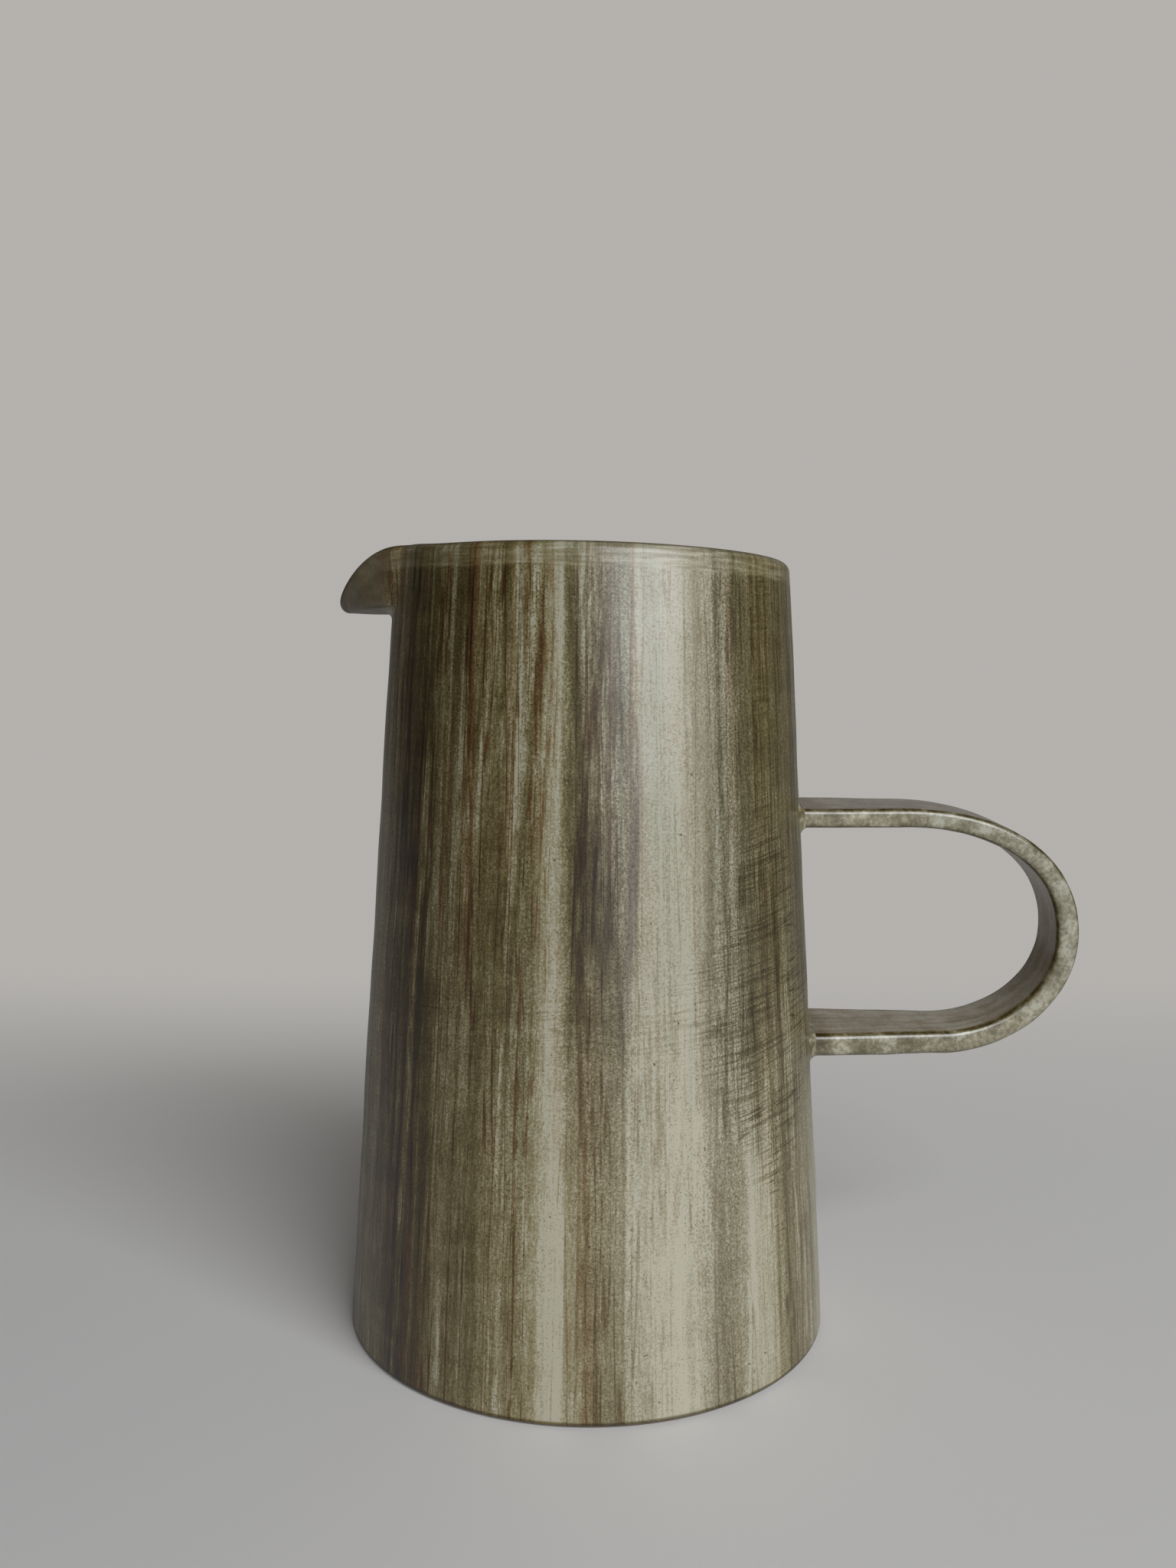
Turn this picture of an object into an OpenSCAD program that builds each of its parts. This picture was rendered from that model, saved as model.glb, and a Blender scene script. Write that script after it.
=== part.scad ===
// Pottery pitcher: a tapered body with a round rim, a beak spout set into a notch
// in the rim, and a flat strap handle whose two roots are worked in with thin coils.
// Millimetres, Z up. The origin is the middle of the foot, on the table.
// The spout points to -X and the handle to +X.

/* [Body] */
// Height of the rim above the table
height = 201; // [170:1:240]
// Outer radius at the foot
foot_r = 63; // [56:0.5:72]
// Outer radius at the rim
rim_r = 51.2; // [46:0.2:58]
// Thickness of the wall
wall_t = 4.6; // [3.6:0.1:6]
// Height of the bevel wiped round the foot
foot_bevel = 1.2; // [0.4:0.1:2]

/* [Base] */
// Thickness of the base disc, which closes the wall from inside
base_t = 6; // [4:0.5:9]
// Radius of the coil smoothed into the corner between base and wall
seam_r = 6; // [3:0.5:10]

/* [Spout] */
// How far the pouring edge stands out from the wall
spout_reach = 14.2; // [10:0.2:20]
// How far short of the pouring edge's middle line the underside of the beak stops
beak_set_back = 1; // [0.8:0.1:2]
// How far the pouring edge dips below the rim
spout_drop = 10.5; // [7:0.5:14]
// Plain wall below the beak that belongs to the spout piece
spout_seat = 5; // [3:0.5:10]
// Half of the angle that the spout piece takes out of the rim
spout_half_angle = 30; // [27:1:36]
// Angle from the spout's middle at which its sides meet the wall
crease_angle = 19.5; // [16:0.5:22]
// Angle at which the rim has run out into its plain round
flare_angle = 25; // [23:0.5:26.5]
// Radius of the hollow under the beak, where it leaves the wall
throat_r = 3.2; // [1:0.2:4]
// Radius of the beak's lower edge
keel_r = 2; // [1:0.2:3]

/* [Handle] */
// Distance from the pitcher's middle to the strap's furthest centre line
handle_reach = 127; // [115:0.5:140]
// Height of the upper run's centre line
upper_run_z = 134.5; // [125:0.5:145]
// Height of the lower run's centre line
lower_run_z = 74; // [65:0.5:85]
// Height at which the bend reaches furthest
bend_z = 101.5; // [95:0.5:108]
// Distance from the middle at which the upper run starts to bend
upper_bend_x = 80.5; // [75:0.5:90]
// Distance from the middle at which the lower run starts to bend
lower_bend_x = 94; // [88:0.5:102]
// Thickness of the strap at its upper root
upper_root_t = 5; // [4:0.1:6.5]
// Thickness of the strap from the bend to its lower root
strap_t = 6.1; // [4.5:0.1:7]
// Width of the strap at its upper root
upper_root_w = 22; // [18:0.5:28]
// Width of the strap at the bend
bend_w = 16; // [14:0.5:22]
// Width of the strap at its lower root
lower_root_w = 24; // [18:0.5:28]
// Radius of the strap's long edges
strap_edge_r = 1.6; // [0.8:0.1:1.9]
// Turn of the handle about the pitcher's axis, off the line through the spout
handle_turn = 2; // [-4:0.5:4]
// Lean of the strap about its own run, from being set on by hand
handle_lean = 4; // [-5:0.5:5]
// Size of the coils worked round the handle's roots
root_coil_r = 2; // [1:0.1:3.5]

/* [Fits] */
// Slip left between pieces that are joined
slip = 0.15; // [0.1:0.01:0.25]

/* [Hidden] */

glaze_light = [0.66, 0.65, 0.55];
glaze_brown = [0.50, 0.45, 0.36];
glaze_olive = [0.57, 0.54, 0.43];
bare_clay = [0.47, 0.37, 0.29];

// Curves of revolution
revolve_steps = 180;
round_steps = 12;
// One overrun for every cut
overrun = 1;

// Steps along and across the spout
beak_steps = 13;
flank_steps = 5;
run_steps = 3;
bend_steps = 5;
lip_steps = 5;
// How full the beak is in plan, below and at the pouring edge
beak_fullness = 0.75;
flare_fullness = 1.5;
// Share of the flare's angle over which the pouring edge dips
dip_share = 0.88;
dip_angle = flare_angle * dip_share;
dip_power = 2.5;

// Steps along and across the strap
strap_steps = 18;
lead_steps = 2;
edge_steps = 3;
face_steps = 7;
// How square the two quarters of the bend are: 2 is a plain ellipse
upper_fullness = 2.2;
lower_fullness = 2;

// Steps across a root coil's hollow face, and the thickness of its thin edges as a share
coil_steps = 4;
coil_edge_share = 0.16;

// Height of the beak's underside and of the notch that the spout sits in
beak_z = height - spout_drop - wall_t;
seat_z = beak_z - spout_seat;
// Slope of the wall, in degrees inwards from upright
wall_slope = atan((foot_r - rim_r) / height);

// Outer radius of the wall at a height
function wall_r(z) = foot_r + (rim_r - foot_r) * z / height;
function unit(v) = v / norm(v);
function clamp01(x) = max(0, min(1, x));
// A point on the way from p to q, at most halfway, at most r along
function toward(p, q, r) = norm(q - p) == 0 ? p : p + (q - p) * min(1 / 2, r / norm(q - p));
// A rounded corner at p between the points a and b
function rounded(a, p, b, r, steps) = [
    for (i = [0 : steps])
        let (t = i / steps, from = toward(p, a, r), to = toward(p, b, r))
        pow(1 - t, 2) * from + 2 * t * (1 - t) * p + pow(t, 2) * to
];
// Points strictly between two points
function between(a, b, steps) = [for (i = [1 : steps - 1]) a + (b - a) * i / steps];

// Triangles of a patch of rows, each with the same number of points; closed runs join up
function grid_faces(rows, cols, wrap_rows, wrap_cols) = [
    for (i = [0 : rows - (wrap_rows ? 1 : 2)])
        for (j = [0 : cols - (wrap_cols ? 1 : 2)])
            let (i2 = (i + 1) % rows, j2 = (j + 1) % cols)
            let (a = i * cols + j, b = i * cols + j2)
            let (c = i2 * cols + j2, d = i2 * cols + j)
            each [[a, b, c], [a, c, d]]
];
// The triangles whose three corners are three different points
function real_faces(points, faces) = [
    for (f = faces)
        if (points[f[0]] != points[f[1]] && points[f[1]] != points[f[2]]
            && points[f[2]] != points[f[0]]) f
];
function flatten(lists) = [for (l = lists) each l];

// BODY

module wall() {
    top_r = wall_t / 2 * cos(wall_slope);
    top_z = height - top_r;
    top_mid = [wall_r(top_z) - wall_t / 2, top_z];
    profile = concat(
        [[wall_r(0) - wall_t, 0], [foot_r - foot_bevel, 0], [wall_r(foot_bevel), foot_bevel]],
        [for (i = [0 : round_steps])
            let (a = wall_slope + 180 * i / round_steps)
            top_mid + top_r * [cos(a), sin(a)]]
    );
    color(glaze_light)
    difference() {
        rotate_extrude($fn = revolve_steps) polygon(profile);
        spout_notch();
    }
}

// The notch: a wedge from the axis outwards, open at the rim
module spout_notch() {
    half = spout_half_angle + slip / rim_r * 180 / PI;
    far = foot_r + overrun;
    translate([0, 0, seat_z - slip])
    linear_extrude(height - seat_z + slip + overrun)
        polygon([[0, 0], [-far, far * tan(half)], [-far, -far * tan(half)]]);
}

module base_disc() {
    low_r = wall_r(0) - wall_t - slip;
    high_r = wall_r(base_t) - wall_t - slip;
    color(bare_clay)
    cylinder(h = base_t, r1 = low_r, r2 = high_r, $fn = revolve_steps);
}

// A soft coil pressed into the corner between the base and the wall
module base_seam_coil() {
    thin = seam_r * coil_edge_share;
    corner = [wall_r(base_t) - wall_t - slip, base_t];
    top_z = base_t + seam_r + thin;
    hollow_mid = corner + [-seam_r - thin, seam_r + thin];
    color(glaze_olive)
    rotate_extrude($fn = revolve_steps)
    polygon(concat(
        [corner, [wall_r(top_z) - wall_t - slip, top_z]],
        [for (i = [0 : round_steps])
            let (a = -90 * i / round_steps)
            hollow_mid + seam_r * [cos(a), sin(a)]],
        [[hollow_mid[0], base_t]]
    ));
}

// SPOUT

function beak_share(a) = pow(max(0, 1 - pow(a / crease_angle, 2)), beak_fullness);
function flare_share(a) = pow(max(0, 1 - pow(a / flare_angle, 2)), flare_fullness);
function dip_of(a) = pow(cos(90 * min(1, abs(a) / dip_angle)), dip_power);

// One upright cut through the spout at an angle from its middle, as [radius, height] points:
// up the outside to the crown of the pouring edge, or up the inside to the same crown
function spout_cut(a, inside) =
    let (mid_z = beak_z + wall_t / 2)
    let (edge_z = height - spout_drop * dip_of(a) - wall_t / 2)
    let (stand = (spout_reach - wall_t / 2 - beak_set_back) * beak_share(a))
    let (turn_mid = [wall_r(mid_z) + stand - wall_t / 2, mid_z])
    let (edge_mid = [wall_r(edge_z) + spout_reach * flare_share(a) - wall_t / 2, edge_z])
    let (along = unit(edge_mid - turn_mid))
    let (side = [along[1], -along[0]] * (inside ? -1 : 1))
    let (thick = inside ? wall_t : 0)
    let (foot = [wall_r(seat_z) - thick, seat_z])
    let (throat = [wall_r(beak_z + thick) - thick, beak_z + thick])
    let (keel = throat + [stand, 0])
    let (rise = edge_mid + side * wall_t / 2)
    let (throat_bend = rounded(foot, throat, keel, throat_r + thick, bend_steps))
    let (keel_bend = rounded(throat, keel, rise, keel_r, bend_steps))
    concat(
        [foot],
        between(foot, throat_bend[0], run_steps),
        throat_bend,
        between(throat_bend[bend_steps], keel_bend[0], run_steps),
        keel_bend,
        between(keel_bend[bend_steps], rise, run_steps),
        [for (i = [0 : lip_steps])
            let (t = 90 * i / lip_steps)
            edge_mid + wall_t / 2 * (side * cos(t) + along * sin(t))]
    );

module spout() {
    middle = [for (k = [-beak_steps : beak_steps]) crease_angle * sin(90 * k / beak_steps)];
    flank = [for (k = [1 : flank_steps])
        crease_angle + (spout_half_angle - crease_angle) * k / flank_steps];
    angles = concat([for (k = [flank_steps - 1 : -1 : 0]) -flank[k]], middle, flank);
    rows = [for (a = angles)
        let (outside = spout_cut(a, false), inner = spout_cut(a, true))
        let (last = len(outside) - 1)
        [for (p = concat(outside, [for (i = [last - 1 : -1 : 0]) inner[i]]))
            [-p[0] * cos(a), p[0] * sin(a), p[1]]]];
    cols = len(rows[0]);
    crown = (cols - 1) / 2;
    end_row = (len(rows) - 1) * cols;
    points = flatten(rows);
    faces = concat(
        grid_faces(len(rows), cols, false, true),
        [for (j = [0 : crown - 1])
            let (k = cols - 1 - j)
            each [[j, k, j + 1], [j + 1, k, k - 1],
                  [end_row + j, end_row + j + 1, end_row + k],
                  [end_row + j + 1, end_row + k - 1, end_row + k]]]
    );
    color(glaze_brown)
    polyhedron(points, real_faces(points, faces));
}

// HANDLE

// The strap's centre line, in its own upright plane, from the upper root to the lower
function strap_path() =
    let (start_u = [wall_r(upper_run_z), upper_run_z])
    let (end_l = [wall_r(lower_run_z), lower_run_z])
    concat(
        [start_u],
        between(start_u, [upper_bend_x, upper_run_z], lead_steps),
        [for (k = [0 : strap_steps])
            let (a = 90 * k / strap_steps)
            [upper_bend_x + (handle_reach - upper_bend_x) * pow(sin(a), 2 / upper_fullness),
             bend_z + (upper_run_z - bend_z) * pow(cos(a), 2 / upper_fullness)]],
        [for (k = [1 : strap_steps])
            let (a = 90 * k / strap_steps)
            [lower_bend_x + (handle_reach - lower_bend_x) * pow(cos(a), 2 / lower_fullness),
             bend_z - (bend_z - lower_run_z) * pow(sin(a), 2 / lower_fullness)]],
        between([lower_bend_x, lower_run_z], end_l, lead_steps),
        [end_l]
    );

// Places across a strap of width w, from one long edge to the other
function strap_columns(w) =
    let (flat = w / 2 - strap_edge_r)
    concat(
        [for (k = [0 : edge_steps]) -flat - strap_edge_r * cos(90 * k / edge_steps)],
        [for (k = [1 : face_steps - 1]) flat * (2 * k / face_steps - 1)],
        [for (k = [edge_steps : -1 : 0]) flat + strap_edge_r * cos(90 * k / edge_steps)]
    );
// Half of the strap's thickness t at a place across its width w
function strap_half_t(y, w, t) =
    let (over = max(0, abs(y) - (w / 2 - strap_edge_r)))
    t / 2 - strap_edge_r + sqrt(max(0, pow(strap_edge_r, 2) - pow(over, 2)));
// The strap's outline: across its outer face one way, then back across its inner face
function strap_outline(w, t) =
    let (ys = strap_columns(w), n = len(ys))
    concat(
        [for (y = ys) [y, strap_half_t(y, w, t)]],
        [for (i = [n - 1 : -1 : 0]) [ys[i], -strap_half_t(ys[i], w, t)]]
    );
// The strap's width at a distance from the pitcher's axis, on the way from a root
function strap_w(x, root_w) =
    root_w + (bend_w - root_w) * clamp01((x - foot_r) / (handle_reach - foot_r));
// The strap's thickness at a height, which grows from the upper run down to the bend
function strap_t_at(z) =
    strap_t + (upper_root_t - strap_t) * clamp01((z - bend_z) / (upper_run_z - bend_z));

// Leans a point of the handle about the middle of its height, as it was set on by hand
function leaned(p) =
    let (mid = (upper_run_z + lower_run_z) / 2, z = p[2] - mid)
    [p[0], p[1] * cos(handle_lean) - z * sin(handle_lean),
     mid + p[1] * sin(handle_lean) + z * cos(handle_lean)];
// Moves a leaned point along X onto the wall, a little off it
function onto_wall(p, off) = [sqrt(pow(wall_r(p[2]) + slip + off, 2) - pow(p[1], 2)), p[1], p[2]];

module strap() {
    path = strap_path();
    last = len(path) - 1;
    rings = [for (i = [0 : last])
        let (along = unit(path[min(last, i + 1)] - path[max(0, i - 1)]))
        let (out = [-along[1], along[0]])
        let (root_w = i < last / 2 ? upper_root_w : lower_root_w)
        [for (q = strap_outline(strap_w(path[i][0], root_w), strap_t_at(path[i][1])))
            let (p = leaned([path[i][0] + out[0] * q[1], q[0], path[i][1] + out[1] * q[1]]))
            i == 0 || i == last ? onto_wall(p, 0) : p]];
    cols = len(rings[0]);
    pairs = cols / 2;
    end_ring = last * cols;
    points = flatten(rings);
    faces = concat(
        grid_faces(len(rings), cols, false, true),
        [for (j = [0 : pairs - 2])
            let (k = cols - 1 - j)
            each [[j, k, j + 1], [j + 1, k, k - 1],
                  [end_ring + j, end_ring + j + 1, end_ring + k],
                  [end_ring + j + 1, end_ring + k - 1, end_ring + k]]]
    );
    polyhedron(points, real_faces(points, faces));
}

// A coil round one root of the strap: a ring with a hollow face, against strap and wall
module root_coil(run_z, root_w, root_t) {
    outline = strap_outline(root_w, root_t);
    n = len(outline);
    thin = root_coil_r * coil_edge_share;
    rings = [for (i = [0 : n - 1])
        let (ahead = outline[(i + 1) % n], behind = outline[(i + n - 1) % n])
        let (along = unit(ahead - behind), out = [-along[1], along[0]])
        let (near = outline[i] + out * slip, far = outline[i] + out * (slip + root_coil_r))
        let (foot = leaned([0, near[0], run_z + near[1]]), rim = leaned([0, far[0], run_z + far[1]]))
        let (lift = unit(rim - foot))
        let (corner = onto_wall(foot, 0), toe = onto_wall(rim, 0))
        let (toe_top = onto_wall(rim, thin), tip = corner + [root_coil_r, 0, 0])
        let (tip_out = tip + lift * thin, bend = corner + [thin, 0, 0] + lift * thin)
        concat(
            [corner, toe],
            [for (k = [0 : coil_steps])
                let (t = k / coil_steps)
                pow(1 - t, 2) * toe_top + 2 * t * (1 - t) * bend + pow(t, 2) * tip_out],
            [tip]
        )];
    points = flatten(rings);
    polyhedron(points, real_faces(points, grid_faces(n, len(rings[0]), true, true)));
}

module handle() {
    color(glaze_olive) rotate([0, 0, handle_turn]) strap();
}

module handle_upper_coil() {
    color(glaze_brown) rotate([0, 0, handle_turn]) root_coil(upper_run_z, upper_root_w, upper_root_t);
}

module handle_lower_coil() {
    color(glaze_brown) rotate([0, 0, handle_turn]) root_coil(lower_run_z, lower_root_w, strap_t);
}

wall();
base_disc();
base_seam_coil();
spout();
handle();
handle_upper_coil();
handle_lower_coil();
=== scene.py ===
"""The looks of a stoneware pitcher with a brushed, streaked glaze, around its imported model.

Shapes are worked out in millimetres in the part's own frame: Z up, the spout at -X, the
handle at +X, the camera on the -Y side. Angles round the body are in degrees.
"""

import math

import bpy
import numpy as np
from mathutils import Euler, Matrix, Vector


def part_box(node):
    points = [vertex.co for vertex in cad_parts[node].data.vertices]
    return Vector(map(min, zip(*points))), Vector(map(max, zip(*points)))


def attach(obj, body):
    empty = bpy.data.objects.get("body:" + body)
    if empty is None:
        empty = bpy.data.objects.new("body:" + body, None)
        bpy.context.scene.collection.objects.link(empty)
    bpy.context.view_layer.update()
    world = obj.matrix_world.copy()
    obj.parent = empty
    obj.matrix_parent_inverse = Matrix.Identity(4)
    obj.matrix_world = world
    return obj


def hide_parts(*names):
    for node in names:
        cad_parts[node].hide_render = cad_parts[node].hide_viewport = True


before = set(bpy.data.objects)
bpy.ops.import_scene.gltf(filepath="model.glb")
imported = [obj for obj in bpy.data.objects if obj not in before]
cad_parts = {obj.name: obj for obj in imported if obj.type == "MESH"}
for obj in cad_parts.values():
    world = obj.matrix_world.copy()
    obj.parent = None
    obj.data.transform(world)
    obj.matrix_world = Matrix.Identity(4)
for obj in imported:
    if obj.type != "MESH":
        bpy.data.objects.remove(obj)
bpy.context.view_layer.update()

MM = 0.001

# Body, as in the part
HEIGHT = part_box("wall")[1].z / MM
FOOT_R = 63.0
RIM_R = 51.2
WALL_T = 4.6
FOOT_ROUND = 1.2
BASE_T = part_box("base_disc")[1].z / MM
SEAM_R = 6.0

# Spout, as in the part
SPOUT_REACH = 14.2
BEAK_SET_BACK = 1.0
SPOUT_DROP = 10.5
SPOUT_SEAT = 5.0
SPOUT_HALF_ANGLE = 30.0
CREASE_ANGLE = 19.5
FLARE_ANGLE = 25.0
THROAT_R = 3.2
KEEL_R = 2.0
BEAK_FULLNESS = 0.75
FLARE_FULLNESS = 1.5
DIP_ANGLE = 22.0
DIP_POWER = 2.5
BEAK_Z = HEIGHT - SPOUT_DROP - WALL_T
SEAT_Z = BEAK_Z - SPOUT_SEAT

# Handle, as in the part
HANDLE_REACH = 127.0
UPPER_RUN_Z = 134.5
LOWER_RUN_Z = 74.0
BEND_Z = 101.5
UPPER_BEND_X = 80.5
LOWER_BEND_X = 94.0
UPPER_ROOT_T = 5.0
STRAP_T = 6.1
UPPER_ROOT_W = 22.0
BEND_W = 16.0
LOWER_ROOT_W = 24.0
STRAP_EDGE_R = 1.6
HANDLE_TURN = 2.0
HANDLE_LEAN = 4.0
ROOT_COIL_R = 2.0
UPPER_FULLNESS = 2.2
LOWER_FULLNESS = 2.0
HANDLE_MID_Z = (UPPER_RUN_Z + LOWER_RUN_Z) / 2
# How deep the strap's ends sit in the wall
ROOT_SINK = 0.6
# The strap's slight unevenness: its height in mm and its scale per metre, and from where to
# where it fades, as shares of the length from the middle
UNEVENNESS = 0.5
UNEVEN_SCALE = 70.0
UNEVEN_SHARES = (0.38, 0.47)
# From this share of the length from the middle on, a point is one of the strap's ends
END_SHARE = 0.4999
# The root coils: how hollow their faces are, and how deep corner, toe and tip sit in the clay
COIL_HOLLOW_SHARE = 0.16
COIL_SINK = 0.4
TOE_SINK = 0.12
TIP_SINK = 0.08

# The slab's lower edge and how far it laps the wall
SLAB_EDGE_IN = 0.3
SLAB_EDGE_RISE = 0.25
SLAB_EDGE_GAP = 0.05
SLAB_LAP = 0.1
# Rings from trimming the slab: depth, turn of the wave per mm, and how the rings wander
TRIM_DEPTH = 0.07
TRIM_RATE = 1.1
TRIM_WANDER = 0.8
TRIM_WANDER_RATE = 0.23
TRIM_STARTS = 6.0
TRIM_STOPS = 8.0
# Where the slab's upper glaze starts and is full, in mm below its top
SLAB_GLAZE_STARTS = 1.2
SLAB_GLAZE_FULL = 0.8
# The seam coil: how far its hollow stands off base and wall, its run-out over the base and
# up the wall, how far it beds into both, and the thickness of its feathered edges
SEAM_OFF = 0.6
SEAM_TOE = 1.2
SEAM_HEAD = 1.0
SEAM_BED = 0.1
SEAM_SINK = 0.3
SEAM_FEATHER = 0.02

# What the hand left on the body: the rim's slope and its lift beside the spout
RIM_SLOPE = math.tan(math.radians(1.14))
RIM_SINK = 1.0
RIM_LIFT = 0.9
LIFT_ANGLE = 24.0
LIFT_SPREAD = 14.0
SLOPE_FROM_Z = 118.0
# Ripples left by the fingers: height in mm, turns round the body, wave length up the body, phase
RIPPLES = [
    (0.10, 2, 260.0, 0.6),
    (0.07, 3, 74.0, 2.1),
    (0.05, 5, 43.0, 4.0),
    (0.035, 7, 29.0, 1.2),
    (0.02, 4, 17.0, 5.1),
]

# Mesh steps: degrees round the body and the spout, mm round the strap's section, then counts
BODY_STEP = 1.0
SPOUT_STEP = 0.5
STRAP_STEP = 0.45
OUTER_ROWS = 90
UPPER_ROWS = 48
INNER_ROWS = 44
FOOT_ROWS = 5
ROUNDING_STEPS = 12
CROWN_STEPS = 18
REVOLVE_STEPS = 240
TRIM_STEPS = 120
SEAM_STEPS = 20
STRAP_RINGS = 200
STRAP_BEND_STEPS = 60
OUTLINE_POINTS = 120
COIL_STEPS = 9
STRAP_CORNER_STEPS = 6
# How softly the spout's shape runs out into the wall, in degrees, and in how many samples
CREASE_SOFTNESS = 2.2
SOFTNESS_SAMPLES = 9


def wall_r(z):
    """Outer radius of the plain tapered wall at a height."""
    return FOOT_R + (RIM_R - FOOT_R) * z / HEIGHT


def smooth(x):
    """A soft step from 0 to 1 as x goes from 0 to 1."""
    x = np.clip(x, 0, 1)
    return x * x * (3 - 2 * x)


def ripple(x, y, z):
    """How far the hand left the wall outside its plain taper."""
    turn = np.arctan2(y, -x)
    waves = sum(h * np.sin(n * turn + 2 * np.pi * z / wave + phase) for h, n, wave, phase in RIPPLES)
    return waves * smooth(z / (2 * BASE_T))


def hand_made(points):
    """Moves points of the body as the hand left them: ripples, a sloping rim, a lifted lip."""
    x, y, z = points[..., 0], points[..., 1], points[..., 2]
    grown = 1 + ripple(x, y, z) / np.hypot(x, y)
    angle = np.abs(np.degrees(np.arctan2(y, -x)))
    lift = RIM_LIFT * np.exp(-((angle - LIFT_ANGLE) / LIFT_SPREAD) ** 2)
    shift = lift - RIM_SINK - RIM_SLOPE * np.clip(x, -RIM_R, RIM_R)
    up = smooth((z - SLOPE_FROM_Z) / (SEAT_Z - SLOPE_FROM_Z))
    return np.stack([x * grown, y * grown, z + shift * up], axis=-1)


def unit(v):
    """Vectors of length one."""
    return v / np.maximum(np.linalg.norm(v, axis=-1, keepdims=True), 1e-12)


def make_piece(name, points, faces, normals=None, material=None, attributes=None):
    """A piece from points in mm and a list of face arrays, with unused points left out.

    normals holds, for each array of faces, the normals of its corners, or None for flat faces.
    """
    used, index = np.unique(np.concatenate([f.ravel() for f in faces]), return_inverse=True)
    lists, corner_normals, start = [], [], 0
    for k, f in enumerate(faces):
        lists += index[start:start + f.size].reshape(f.shape).tolist()
        start += f.size
        if normals is not None:
            given = normals[k]
            if given is None:
                p = points[f]
                flat = unit(np.cross(p[:, 2] - p[:, 0], p[:, -1] - p[:, 1]))
                given = np.repeat(flat[:, None], f.shape[1], axis=1)
            corner_normals.append(given.reshape(-1, 3))
    mesh = bpy.data.meshes.new(name)
    mesh.from_pydata((points[used] * MM).tolist(), [], lists)
    mesh.shade_smooth()
    for key, values in (attributes or {}).items():
        layer = mesh.attributes.new(key, "FLOAT", "POINT")
        layer.data.foreach_set("value", values[used].astype(np.float32))
    if normals is not None:
        mesh.normals_split_custom_set(np.concatenate(corner_normals).tolist())
    piece = bpy.data.objects.new(name, mesh)
    bpy.context.scene.collection.objects.link(piece)
    if material:
        mesh.materials.append(material)
    return piece


def quads(a, b, c, d):
    """Quads from four arrays of point numbers of one shape."""
    return np.stack(np.broadcast_arrays(a, b, c, d), axis=-1).reshape(-1, 4)


# BODY AND SPOUT, from one family of upright cuts through the axis

def soft_share(angle, limit, power, softness):
    """A share that falls from 1 at the spout's middle to 0 at an angle, with a softened end."""
    offsets = np.linspace(-softness, softness, SOFTNESS_SAMPLES)
    shares = [max(0.0, 1 - ((angle + d) / limit) ** 2) ** power for d in offsets]
    return float(np.mean(shares))


def rounded(before, corner, after, radius):
    """A rounded corner between two straight runs, at most halfway along either."""
    def toward(end):
        """The point where the rounding starts on the way to an end."""
        length = np.linalg.norm(end - corner)
        return corner if length < 1e-9 else corner + (end - corner) * min(0.5, radius / length)

    t = np.linspace(0, 1, ROUNDING_STEPS + 1)[:, None]
    return (1 - t) ** 2 * toward(before) + 2 * t * (1 - t) * corner + t ** 2 * toward(after)


def even(line, count):
    """The same line as a number of points at even distances."""
    along = np.concatenate([[0], np.cumsum(np.linalg.norm(np.diff(line, axis=0), axis=1))])
    wanted = np.linspace(0, along[-1], count)
    return np.stack([np.interp(wanted, along, line[:, i]) for i in range(line.shape[1])], axis=1)


def upper_cut(angle, inside):
    """The cut from the spout's seat up to the crown of the rim or of the pouring edge."""
    beak = soft_share(angle, CREASE_ANGLE, BEAK_FULLNESS, CREASE_SOFTNESS)
    flare = soft_share(angle, FLARE_ANGLE, FLARE_FULLNESS, CREASE_SOFTNESS / 2)
    dip = math.cos(math.radians(90 * min(1, abs(angle) / DIP_ANGLE))) ** DIP_POWER
    half = WALL_T / 2
    mid_z = BEAK_Z + half
    edge_z = HEIGHT - SPOUT_DROP * dip - half
    stand = (SPOUT_REACH - half - BEAK_SET_BACK) * beak
    turn_mid = np.array([wall_r(mid_z) + stand - half, mid_z])
    edge_mid = np.array([wall_r(edge_z) + SPOUT_REACH * flare - half, edge_z])
    along = unit(edge_mid - turn_mid)
    side = np.array([along[1], -along[0]]) * (-1 if inside else 1)
    thick = WALL_T if inside else 0
    seat = np.array([wall_r(SEAT_Z) - thick, SEAT_Z])
    throat = np.array([wall_r(BEAK_Z + thick) - thick, BEAK_Z + thick])
    keel = throat + [stand, 0]
    rise = edge_mid + side * half
    turn = np.radians(np.linspace(0, 90, CROWN_STEPS + 1))[:, None]
    cut = np.concatenate([
        seat[None],
        rounded(seat, throat, keel, THROAT_R + thick),
        rounded(throat, keel, rise, KEEL_R),
        edge_mid + half * (side * np.cos(turn) + along * np.sin(turn)),
    ])
    return even(cut, UPPER_ROWS)


def whole_cut(angle):
    """The open cut through the wall: up the outside, over the crown, down the inside."""
    turn = np.radians(np.linspace(-90, 0, FOOT_ROWS))[:, None]
    foot_mid = np.array([wall_r(FOOT_ROUND) - FOOT_ROUND, FOOT_ROUND])
    foot = foot_mid + FOOT_ROUND * np.concatenate([np.cos(turn), np.sin(turn)], axis=1)
    rise = np.linspace(FOOT_ROUND, SEAT_Z, OUTER_ROWS)[1:-1]
    fall = np.linspace(SEAT_Z, 0, INNER_ROWS)[1:]
    return np.concatenate([
        foot,
        np.stack([wall_r(rise), rise], axis=1),
        upper_cut(angle, False),
        upper_cut(angle, True)[::-1][1:],
        np.stack([wall_r(fall) - WALL_T, fall], axis=1),
    ])


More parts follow.
